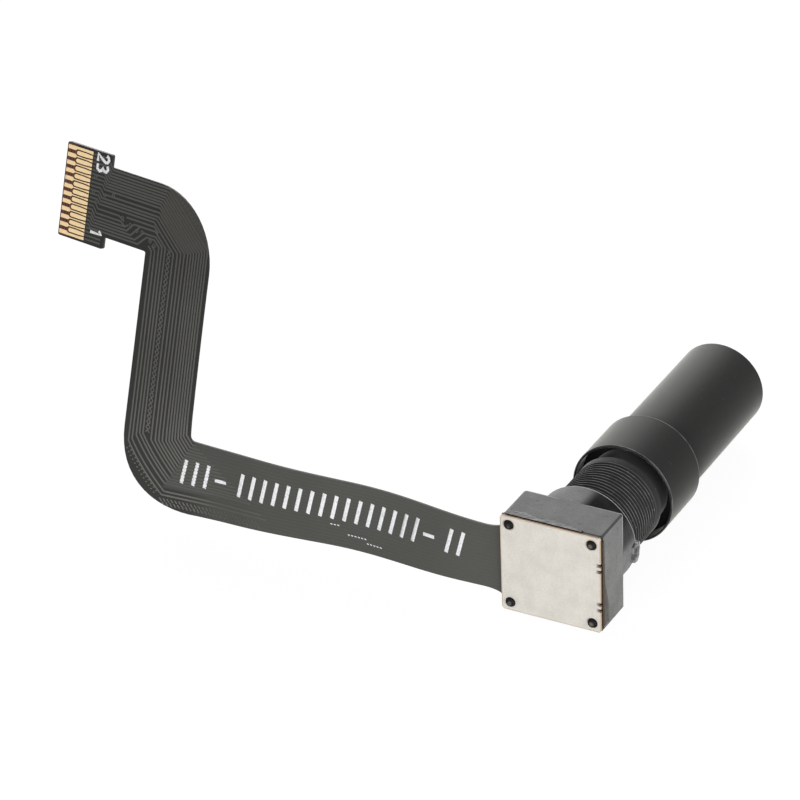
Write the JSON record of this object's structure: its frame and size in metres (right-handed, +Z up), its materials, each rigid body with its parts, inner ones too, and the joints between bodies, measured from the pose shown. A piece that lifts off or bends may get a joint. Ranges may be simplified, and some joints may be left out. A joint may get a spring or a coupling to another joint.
{
  "type": "camera module",
  "caption": "Small camera module: a long threaded lens with a collar in a square mount, on a bent flat flexible circuit with gold contact fingers.",
  "frame": {"origin": "centre of the steel rear plate's outer face, on the lens axis", "axes": "+Y along the lens axis from the rear plate to the lens's front end, +X along the plate's edge away from the flexible circuit, +Z up"},
  "size_m": [0.0493, 0.0302, 0.0255],
  "materials": {
    "mount_plastic": "moulded, fine matt",
    "plate_steel": "fine grained, dull",
    "polyimide_film": "amber film",
    "coverlay": "satin black coverlay over raised tracks",
    "gold_plating": "soft gold plating",
    "stiffener_film": "matt",
    "black_epoxy": "cured, glossy",
    "clear_glue": "cured, clear with small bubbles",
    "filter_glass": "polished, infrared coating",
    "silicon": "polished",
    "cover_glass": "polished",
    "chip_ceramic": "fired ceramic with tinned ends",
    "black_anodised": "satin black anodising, fine turned edges",
    "barrel_anodised": "satin black anodising, worn fine on the thread crests",
    "blackened_ring": "dull black anodising",
    "lens_glass": "polished, anti-reflection coating"
  },
  "bodies": {
    "root": {"lens_mount": "mount_plastic", "rear_plate": "plate_steel", "plate_film": "polyimide_film", "flex_circuit": "coverlay", "contact_fingers": "gold_plating", "contact_stiffener": "stiffener_film", "base_glue": "black_epoxy", "lock_glue": "clear_glue", "infrared_filter": "filter_glass", "image_sensor": "silicon", "sensor_cover_glass": "cover_glass", "chip_capacitors": "chip_ceramic", "lens_barrel": "barrel_anodised", "front_tube": "black_anodised", "rear_retaining_ring": "blackened_ring", "rear_element": "lens_glass", "rear_spacer": "blackened_ring", "third_element": "lens_glass", "aperture_stop": "blackened_ring", "middle_spacer": "blackened_ring", "second_element": "lens_glass", "front_spacer": "blackened_ring", "front_element": "lens_glass", "front_retaining_ring": "blackened_ring"}
  },
  "joints": []
}
